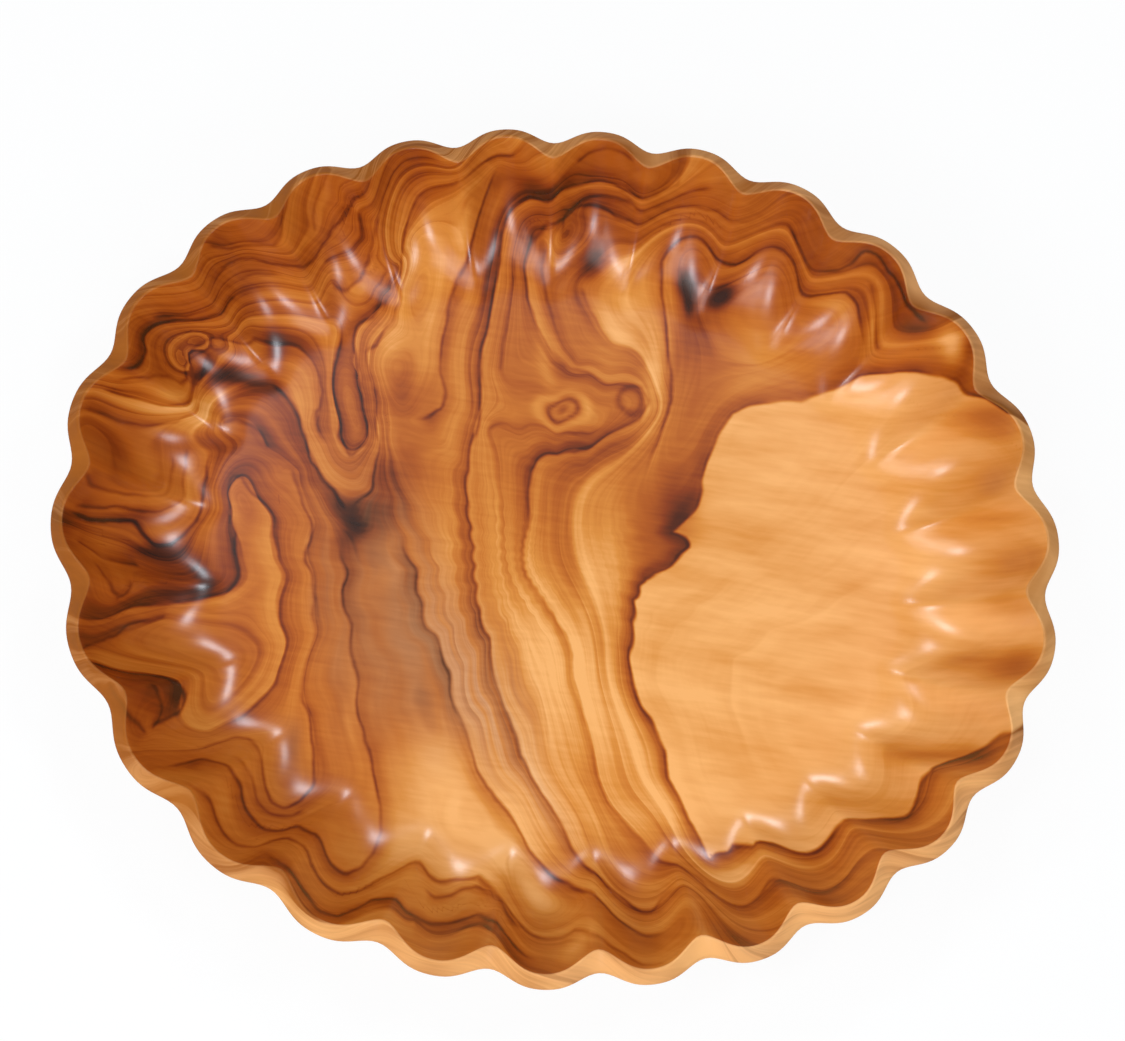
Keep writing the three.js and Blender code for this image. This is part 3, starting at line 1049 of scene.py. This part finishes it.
    def dress(self, dish: bpy.types.Object, finish: OliveWood) -> None:
        """Gives the dish its finish and ties it to the frame."""
        dish.data.materials.append(finish.build())
        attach(dish, "root")
        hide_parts("carved_dish")


def linear(colour: Colour) -> tuple[float, float, float, float]:
    """A colour as it looks on a screen, as Blender's linear colour with full alpha."""
    value = np.array(colour)
    dim = value / SCREEN_SLOPE
    bright = ((value + SCREEN_OFFSET) / (1.0 + SCREEN_OFFSET)) ** SCREEN_POWER
    return (*np.where(value <= SCREEN_KNEE, dim, bright).tolist(), 1.0)


class NodeSheet:
    """A short hand for building one node tree, with the colour sockets of its Mix nodes."""

    MIX_SHARE = 0
    MIX_BELOW = 6
    MIX_ABOVE = 7
    MIX_RESULT = 2

    def __init__(self, tree: bpy.types.NodeTree) -> None:
        """Starts on an emptied tree."""
        self.tree = tree
        self.tree.nodes.clear()

    def add(self, kind: str, **settings: object) -> bpy.types.Node:
        """Adds a node and sets its properties.

        Args:
            kind: Blender's name for the node.
            settings: Properties of the node.

        Returns:
            The node.
        """
        node = self.tree.nodes.new(kind)
        for name, value in settings.items():
            setattr(node, name, value)
        return node

    def feed(self, socket: bpy.types.NodeSocket, value: object) -> None:
        """Links an output to a socket, or sets the socket to a plain value."""
        if isinstance(value, bpy.types.NodeSocket):
            self.tree.links.new(value, socket)
        else:
            socket.default_value = value

    def math(self, operation: str, *values: object, clamp: bool = False) -> bpy.types.NodeSocket:
        """A Math node.

        Args:
            operation: Blender's name for it.
            values: Its inputs, numbers or sockets.
            clamp: True to keep the result in 0..1.

        Returns:
            The node's output.
        """
        node = self.add("ShaderNodeMath", operation=operation, use_clamp=clamp)
        for socket, value in zip(node.inputs, values):
            self.feed(socket, value)
        return node.outputs[0]

    def place(self) -> bpy.types.NodeSocket:
        """Where a point is on the piece."""
        return self.add("ShaderNodeTexCoord").outputs["Object"]

    def split(self, vector: bpy.types.NodeSocket) -> list[bpy.types.NodeSocket]:
        """The three numbers of a vector."""
        node = self.add("ShaderNodeSeparateXYZ")
        self.feed(node.inputs[0], vector)
        return list(node.outputs)

    def attribute(self, name: str) -> bpy.types.NodeSocket:
        """A number kept on the mesh."""
        return self.add("ShaderNodeAttribute", attribute_name=name).outputs["Fac"]

    def noise(self, vector: object, scale: float, detail: float = 2.0) -> bpy.types.NodeSocket:
        """Noise from 0 to 1 about a half.

        Args:
            vector: Where it is read.
            scale: Features per unit.
            detail: Octaves.

        Returns:
            The noise's value.
        """
        node = self.add("ShaderNodeTexNoise")
        self.feed(node.inputs["Vector"], vector)
        self.feed(node.inputs["Scale"], scale)
        self.feed(node.inputs["Detail"], detail)
        return node.outputs["Fac"]

    def about_zero(self, noise: bpy.types.NodeSocket) -> bpy.types.NodeSocket:
        """Noise moved so that its middle is 0."""
        return self.math("SUBTRACT", noise, NOISE_MIDDLE)

    def vector(self, x: object, y: object, z: object) -> bpy.types.NodeSocket:
        """A vector from three numbers."""
        node = self.add("ShaderNodeCombineXYZ")
        for socket, value in zip(node.inputs, (x, y, z)):
            self.feed(socket, value)
        return node.outputs[0]

    def ease(self, value: object, low: float, high: float, start: float,
             end: float) -> bpy.types.NodeSocket:
        """Eases from start at low to end at high, and stays there beyond."""
        node = self.add("ShaderNodeMapRange", interpolation_type="SMOOTHSTEP")
        for name, entry in zip(("Value", "From Min", "From Max", "To Min", "To Max"),
                               (value, low, high, start, end)):
            self.feed(node.inputs[name], entry)
        return node.outputs[0]

    def stops(self, value: object, stops: Stops) -> bpy.types.NodeSocket:
        """A ramp through places and Blender's own colours."""
        node = self.add("ShaderNodeValToRGB")
        self.feed(node.inputs[0], value)
        elements = node.color_ramp.elements
        for place, _ in stops[len(elements):]:
            elements.new(place)
        for element, (place, colour) in zip(elements, stops):
            element.position = place
            element.color = colour
        return node.outputs[0]

    def ramp(self, value: object, stops: Stops) -> bpy.types.NodeSocket:
        """A colour ramp through colours as they look on a screen."""
        return self.stops(value, tuple((place, linear(colour)) for place, colour in stops))

    def levels(self, value: object, stops: tuple[tuple[float, float], ...]) -> bpy.types.NodeSocket:
        """A ramp through plain numbers."""
        return self.stops(value, tuple((place, (level, level, level, 1.0)) for place, level in stops))

    def mix(self, share: object, below: object, above: object) -> bpy.types.NodeSocket:
        """Lays one colour over another.

        Args:
            share: How much of the upper one shows.
            below: The lower colour.
            above: The upper colour.

        Returns:
            The mixed colour.
        """
        node = self.add("ShaderNodeMix", data_type="RGBA")
        self.feed(node.inputs[self.MIX_SHARE], share)
        self.feed(node.inputs[self.MIX_BELOW], below)
        self.feed(node.inputs[self.MIX_ABOVE], above)
        return node.outputs[self.MIX_RESULT]


@dataclass(frozen=True)
class GrainNoise:
    """Uneven streaks along the growth rings: how quick across and along them, and how strong."""

    across: float
    along: float
    detail: float
    strength: float


@dataclass(frozen=True)
class RingLines:
    """Thin dark lines along the growth rings: how many in a ring, how much they stray, how dark."""

    count: float
    stray: float
    edge: float
    fade: float
    strength: float


@dataclass(frozen=True)
class OliveWood:
    """Olive wood under clear oil: warm heartwood with dark rings, and pale sapwood."""

    name: str = "oiled_olive_wood"
    tones: Stops = WOOD_TONES
    ring_tones: tuple[tuple[float, float], ...] = RING_TONES
    ring_range: float = 10.0
    sapwood: float = 0.92
    sapwood_calm: float = 0.35
    sapwood_edge: float = 3.0
    line_width: float = 3.6
    line_core: float = 0.26
    line_fade: float = 20.0
    line_stain: float = 0.20
    line_stray: float = 5.0
    stray_scale: float = 90.0
    stray_detail: float = 3.0
    uneven_scale: float = 35.0
    uneven_range: Easing = (0.30, 0.62, 0.5, 1.0)
    stain_edge: Easing = (-2.0, 1.0, 0.0, 1.0)
    line_breaks: Easing = (0.40, 0.62, 0.1, 1.0)
    bands: GrainNoise = GrainNoise(2.2, 7.0, 2.0, 0.30)
    fine: GrainNoise = GrainNoise(9.0, 12.0, 3.0, 0.22)
    streaks: GrainNoise = GrainNoise(36.0, 40.0, 3.0, 0.14)
    ripple: GrainNoise = GrainNoise(70.0, 18.0, 4.0, 0.46)
    flecks: GrainNoise = GrainNoise(520.0, 60.0, 2.0, 0.14)
    wide_lines: RingLines = RingLines(2.6, 2.0, 0.06, 0.60, 0.16)
    close_lines: RingLines = RingLines(6.0, 5.0, 0.08, 0.70, 0.045)
    # The rim face's lit and shaded tints: painted light on the near and right sides, painted shade on the
    # far and left.
    rim_lit_tint: Colour = (1.00, 0.75, 0.49)
    rim_shaded_tint: Colour = (0.64, 0.38, 0.16)
    rim_share: float = 0.72
    rim_streaks: float = 3.0
    rim_lines: float = 3.0
    rim_roughness: float = 0.6
    rim_coat: float = 0.1
    greyed_tones: Stops = GREYED_TONES
    greying_range: Easing = (0.35, 0.65, 0.5, 1.3)
    roughness: float = 0.40
    specular: float = 0.0
    coat: float = 1.0
    coat_ior: float = 1.58
    coat_roughness: float = 0.24
    pore_scale: float = 900.0
    pore_depth: float = 0.0004
    pore_strength: float = 0.04

    def streaked(self, sheet: NodeSheet, grain: GrainNoise) -> bpy.types.NodeSocket:
        """Noise drawn out along the growth rings, from 0 to 1 about a half."""
        x, y, _ = sheet.split(sheet.place())
        across = sheet.math("MULTIPLY", sheet.attribute("ring"), grain.across)
        run_x = sheet.math("MULTIPLY", x, grain.along)
        run_y = sheet.math("MULTIPLY", y, grain.along)
        return sheet.noise(sheet.vector(across, run_x, run_y), 1.0, grain.detail)

    def crossing(self, sheet: NodeSheet, grain: GrainNoise) -> bpy.types.NodeSocket:
        """Noise drawn out along the dish, across the run of the trunk, about 0."""
        x, y, _ = sheet.split(sheet.place())
        along = sheet.math("MULTIPLY", x, grain.along)
        across = sheet.math("MULTIPLY", y, grain.across)
        noise = sheet.noise(sheet.vector(along, across, 0.0), 1.0, grain.detail)
        return sheet.math("MULTIPLY", sheet.about_zero(noise), grain.strength)

    def ring_lines(self, sheet: NodeSheet, lines: RingLines, stray: bpy.types.NodeSocket,
                   patchy: bpy.types.NodeSocket) -> bpy.types.NodeSocket:
        """Darkness of thin lines: a sharp edge once in each part of a ring, then a slow fade.

        Args:
            sheet: The finish's nodes.
            lines: The lines' sizes.
            stray: Noise that bends them.
            patchy: Noise that breaks them up.

        Returns:
            Darkness from 0 to 1.
        """
        turns = sheet.math("MULTIPLY", sheet.attribute("ring"), lines.count)
        turns = sheet.math("MULTIPLY_ADD", stray, lines.stray, turns)
        saw = sheet.math("FRACT", turns)
        edge = sheet.ease(saw, 0.0, lines.edge, 0.0, 1.0)
        fade = sheet.ease(saw, lines.edge, lines.fade, 1.0, 0.0)
        broken = sheet.ease(patchy, *self.line_breaks)
        return sheet.math("MULTIPLY", sheet.math("MULTIPLY", edge, fade), broken)

    def drawn_lines(self, sheet: NodeSheet) -> bpy.types.NodeSocket:
        """Darkness of the charted lines: a dark core, and a stain that fades to one side."""
        place = sheet.place()
        bend = sheet.about_zero(sheet.noise(place, self.stray_scale, self.stray_detail))
        uneven = sheet.ease(sheet.noise(place, self.uneven_scale), *self.uneven_range)
        dark = 0.0
        for slot in range(LINE_SLOTS):
            offset = sheet.attribute(f"line_offset_{slot}")
            offset = sheet.math("MULTIPLY_ADD", bend, self.line_stray, offset)
            core = sheet.ease(sheet.math("ABSOLUTE", offset), 0.0, self.line_width, 1.0, 0.0)
            stain = sheet.ease(offset, 0.0, self.line_fade, 1.0, 0.0)
            stain = sheet.math("MULTIPLY", stain, sheet.ease(offset, *self.stain_edge))
            both = sheet.math("MULTIPLY", core, self.line_core)
            both = sheet.math("MULTIPLY_ADD", stain, self.line_stain, both)
            dark = sheet.math("MULTIPLY_ADD", both, sheet.attribute(f"line_dark_{slot}"), dark)
        return sheet.math("MULTIPLY", dark, uneven)

    def streaks_and_lines(self, sheet: NodeSheet) -> bpy.types.NodeSocket:
        """What the streaks and the thin lines along the rings do to the tone, about 0."""
        bands = self.streaked(sheet, self.bands)
        fine = self.streaked(sheet, self.fine)
        streaks = self.streaked(sheet, self.streaks)
        varied = 0.0
        for noise, grain in ((bands, self.bands), (fine, self.fine), (streaks, self.streaks)):
            varied = sheet.math("MULTIPLY_ADD", sheet.about_zero(noise), grain.strength, varied)
        for lines, patchy in ((self.wide_lines, fine), (self.close_lines, bands)):
            thin = self.ring_lines(sheet, lines, bands, patchy)
            varied = sheet.math("MULTIPLY_ADD", thin, -lines.strength, varied)
        return varied

    def tone(self, sheet: NodeSheet, varied: bpy.types.NodeSocket,
             drawn: bpy.types.NodeSocket) -> bpy.types.NodeSocket:
        """The wood's tone: its ring's own, with streaks and thin lines, patches and charted lines; some
        of the patches are painted shade and painted highlights.

        Args:
            sheet: The finish's nodes.
            varied: What streaks and thin lines do.
            drawn: Darkness of the charted lines.

        Returns:
            Tone from 0, dark, to 1, pale.
        """
        edge = self.sapwood_edge
        heart = sheet.ease(sheet.attribute("sap_offset"), -edge, edge, 0.0, 1.0)
        share = sheet.math("DIVIDE", sheet.attribute("ring"), self.ring_range)
        own = sheet.levels(share, tuple((ring / self.ring_range, tone) for ring, tone in self.ring_tones))
        pale = sheet.math("ADD", self.crossing(sheet, self.ripple), self.sapwood)
        calm = sheet.ease(heart, 0.0, 1.0, self.sapwood_calm, 1.0)
        base = sheet.math("MULTIPLY_ADD", sheet.math("SUBTRACT", own, pale), heart, pale)
        value = sheet.math("MULTIPLY_ADD", varied, calm, base)
        value = sheet.math("ADD", value, self.crossing(sheet, self.flecks))
        value = sheet.math("ADD", value, sheet.attribute("tone"))
        return sheet.math("SUBTRACT", value, drawn)

    def build(self) -> bpy.types.Material:
        """Makes the finish.

        Returns:
            The material.
        """
        material = bpy.data.materials.new(self.name)
        material.use_nodes = True
        sheet = NodeSheet(material.node_tree)
        varied = self.streaks_and_lines(sheet)
        drawn = self.drawn_lines(sheet)
        tone = self.tone(sheet, varied, drawn)
        # The patches' grey turns the tone towards greyer colours, broken up by streaks.
        greying = sheet.ease(self.streaked(sheet, self.fine), *self.greying_range)
        greying = sheet.math("MULTIPLY", sheet.attribute("grey"), greying, clamp=True)
        wood = sheet.ramp(tone, self.tones)
        greyed_wood = sheet.ramp(tone, self.greyed_tones)
        colour = sheet.mix(greying, wood, greyed_wood)
        # The rim face: its paleness, streaked and lined by the grain, runs from the shaded tint to the
        # lit one, painted light and shade round the edge.
        rim = sheet.attribute("rim")
        pale = sheet.math("MULTIPLY_ADD", varied, self.rim_streaks, sheet.attribute("rim_painted_light_and_tone"))
        pale = sheet.math("MULTIPLY_ADD", drawn, -self.rim_lines, pale, clamp=True)
        rim_face_lit_and_shaded = sheet.mix(pale, linear(self.rim_shaded_tint), linear(self.rim_lit_tint))
        colour = sheet.mix(sheet.math("MULTIPLY", rim, self.rim_share), colour, rim_face_lit_and_shaded)

        bump = sheet.add("ShaderNodeBump")
        bump.inputs["Strength"].default_value = self.pore_strength
        bump.inputs["Distance"].default_value = self.pore_depth
        sheet.feed(bump.inputs["Height"], sheet.noise(sheet.place(), self.pore_scale))

        shader = sheet.add("ShaderNodeBsdfPrincipled")
        sheet.feed(shader.inputs["Base Color"], colour)
        shader.inputs["Specular IOR Level"].default_value = self.specular
        roughness = sheet.ease(rim, 0.0, 1.0, self.roughness, self.rim_roughness)
        coat = sheet.ease(rim, 0.0, 1.0, self.coat, self.rim_coat)
        sheet.feed(shader.inputs["Roughness"], roughness)
        sheet.feed(shader.inputs["Coat Weight"], coat)
        shader.inputs["Coat Roughness"].default_value = self.coat_roughness
        shader.inputs["Coat IOR"].default_value = self.coat_ior
        sheet.feed(shader.inputs["Normal"], bump.outputs[0])
        output = sheet.add("ShaderNodeOutputMaterial")
        sheet.feed(output.inputs["Surface"], shader.outputs[0])
        return material


@dataclass(frozen=True)
class SoftBox:
    """A soft square light that hangs round the dish and looks at its middle."""

    name: str
    azimuth: float
    elevation: float
    distance: float
    width: float
    watts: float
    colour: Colour = (1.0, 1.0, 1.0)

    def build(self) -> bpy.types.Object:
        """Hangs the light.

        Returns:
            The light object.
        """
        data = bpy.data.lights.new(self.name, "AREA")
        data.size = self.width
        data.energy = self.watts
        data.color = self.colour
        back = direction(self.azimuth, self.elevation)
        light = add_object(self.name, data)
        light.location = back * self.distance
        light.rotation_euler = Vector(-back).to_track_quat("-Z", "Y").to_euler()
        return light


@dataclass(frozen=True)
class Studio:
    """A white table and a white room, with soft boxes all round."""

    floor_size: float = 12.0
    floor_drop: float = 0.0002
    floor_grey: float = 0.9
    whiteness: float = 0.93
    room_light: float = 0.12
    lights: tuple[SoftBox, ...] = (
        SoftBox("main_box", -20.0, 60.0, 0.9, 0.45, 1.5),
        SoftBox("front_box", 5.0, 36.0, 1.1, 0.24, 2.5, DAYLIGHT),
        SoftBox("right_box", 65.0, 42.0, 1.1, 0.22, 1.9, DAYLIGHT),
        SoftBox("far_right_box", 120.0, 61.0, 1.1, 0.18, 2.4, DAYLIGHT),
        SoftBox("far_box", 178.0, 55.0, 1.1, 0.18, 2.2, DAYLIGHT),
        SoftBox("far_left_box", -128.0, 60.0, 1.1, 0.18, 1.5, DAYLIGHT),
        SoftBox("left_box", -62.0, 38.0, 1.1, 0.22, 1.8, DAYLIGHT),
        SoftBox("left_window", -48.0, 42.0, 1.1, 0.6, 2.4),
    )

    def shown(self, sheet: NodeSheet) -> bpy.types.NodeSocket:
        """1 for rays that show the background, straight or mirrored or through glass, else 0."""
        path = sheet.add("ShaderNodeLightPath")
        seen = sheet.math("MAXIMUM", path.outputs["Is Camera Ray"], path.outputs["Is Glossy Ray"])
        return sheet.math("MAXIMUM", seen, path.outputs["Is Transmission Ray"])

    def floor_finish(self) -> bpy.types.Material:
        """White for the camera, with part of its own shading kept for the dish's shadow."""
        material = bpy.data.materials.new("white_table")
        material.use_nodes = True
        sheet = NodeSheet(material.node_tree)
        matt = sheet.add("ShaderNodeBsdfDiffuse")
        matt.inputs["Color"].default_value = (self.floor_grey, self.floor_grey, self.floor_grey, 1.0)
        glow = sheet.add("ShaderNodeEmission")
        both = sheet.add("ShaderNodeMixShader")
        sheet.feed(both.inputs[0], sheet.math("MULTIPLY", self.shown(sheet), self.whiteness))
        sheet.feed(both.inputs[1], matt.outputs[0])
        sheet.feed(both.inputs[2], glow.outputs[0])
        output = sheet.add("ShaderNodeOutputMaterial")
        sheet.feed(output.inputs["Surface"], both.outputs[0])
        return material

    def build(self) -> bpy.types.Object:
        """Lays the table, lights the room and hangs the lights.

        Returns:
            The table.
        """
        half = self.floor_size / 2
        corners = [(-half, -half, -self.floor_drop), (half, -half, -self.floor_drop),
                   (half, half, -self.floor_drop), (-half, half, -self.floor_drop)]
        mesh = bpy.data.meshes.new("white_table")
        mesh.from_pydata(corners, [], [(0, 1, 2, 3)])
        mesh.materials.append(self.floor_finish())
        floor = add_object("white_table", mesh)

        world = bpy.data.worlds.new("white_room")
        world.use_nodes = True
        sheet = NodeSheet(world.node_tree)
        room = sheet.add("ShaderNodeBackground")
        room.inputs["Strength"].default_value = self.room_light
        output = sheet.add("ShaderNodeOutputWorld")
        sheet.feed(output.inputs["Surface"], room.outputs[0])
        room.inputs["Color"].default_value = (1.0, 1.0, 1.0, 1.0)
        bpy.context.scene.world = world
        for light in self.lights:
            light.build()
        return floor


def main() -> None:
    """Builds the camera, the dish and the studio, and reports each piece."""
    logging.basicConfig(level=logging.INFO, format="%(name)s: %(message)s")
    bpy.context.scene.view_settings.view_transform = "Standard"
    camera = PhotoCamera()
    camera.build()
    dish = CarvedDish()
    piece = dish.build(camera, GrainChart())
    dish.dress(piece, OliveWood())
    LOG.info("%s: %d points, %d faces", piece.name, len(piece.data.vertices), len(piece.data.polygons))
    floor = Studio().build()
    LOG.info("%s: stage", floor.name)


if __name__ == "__main__":
    main()
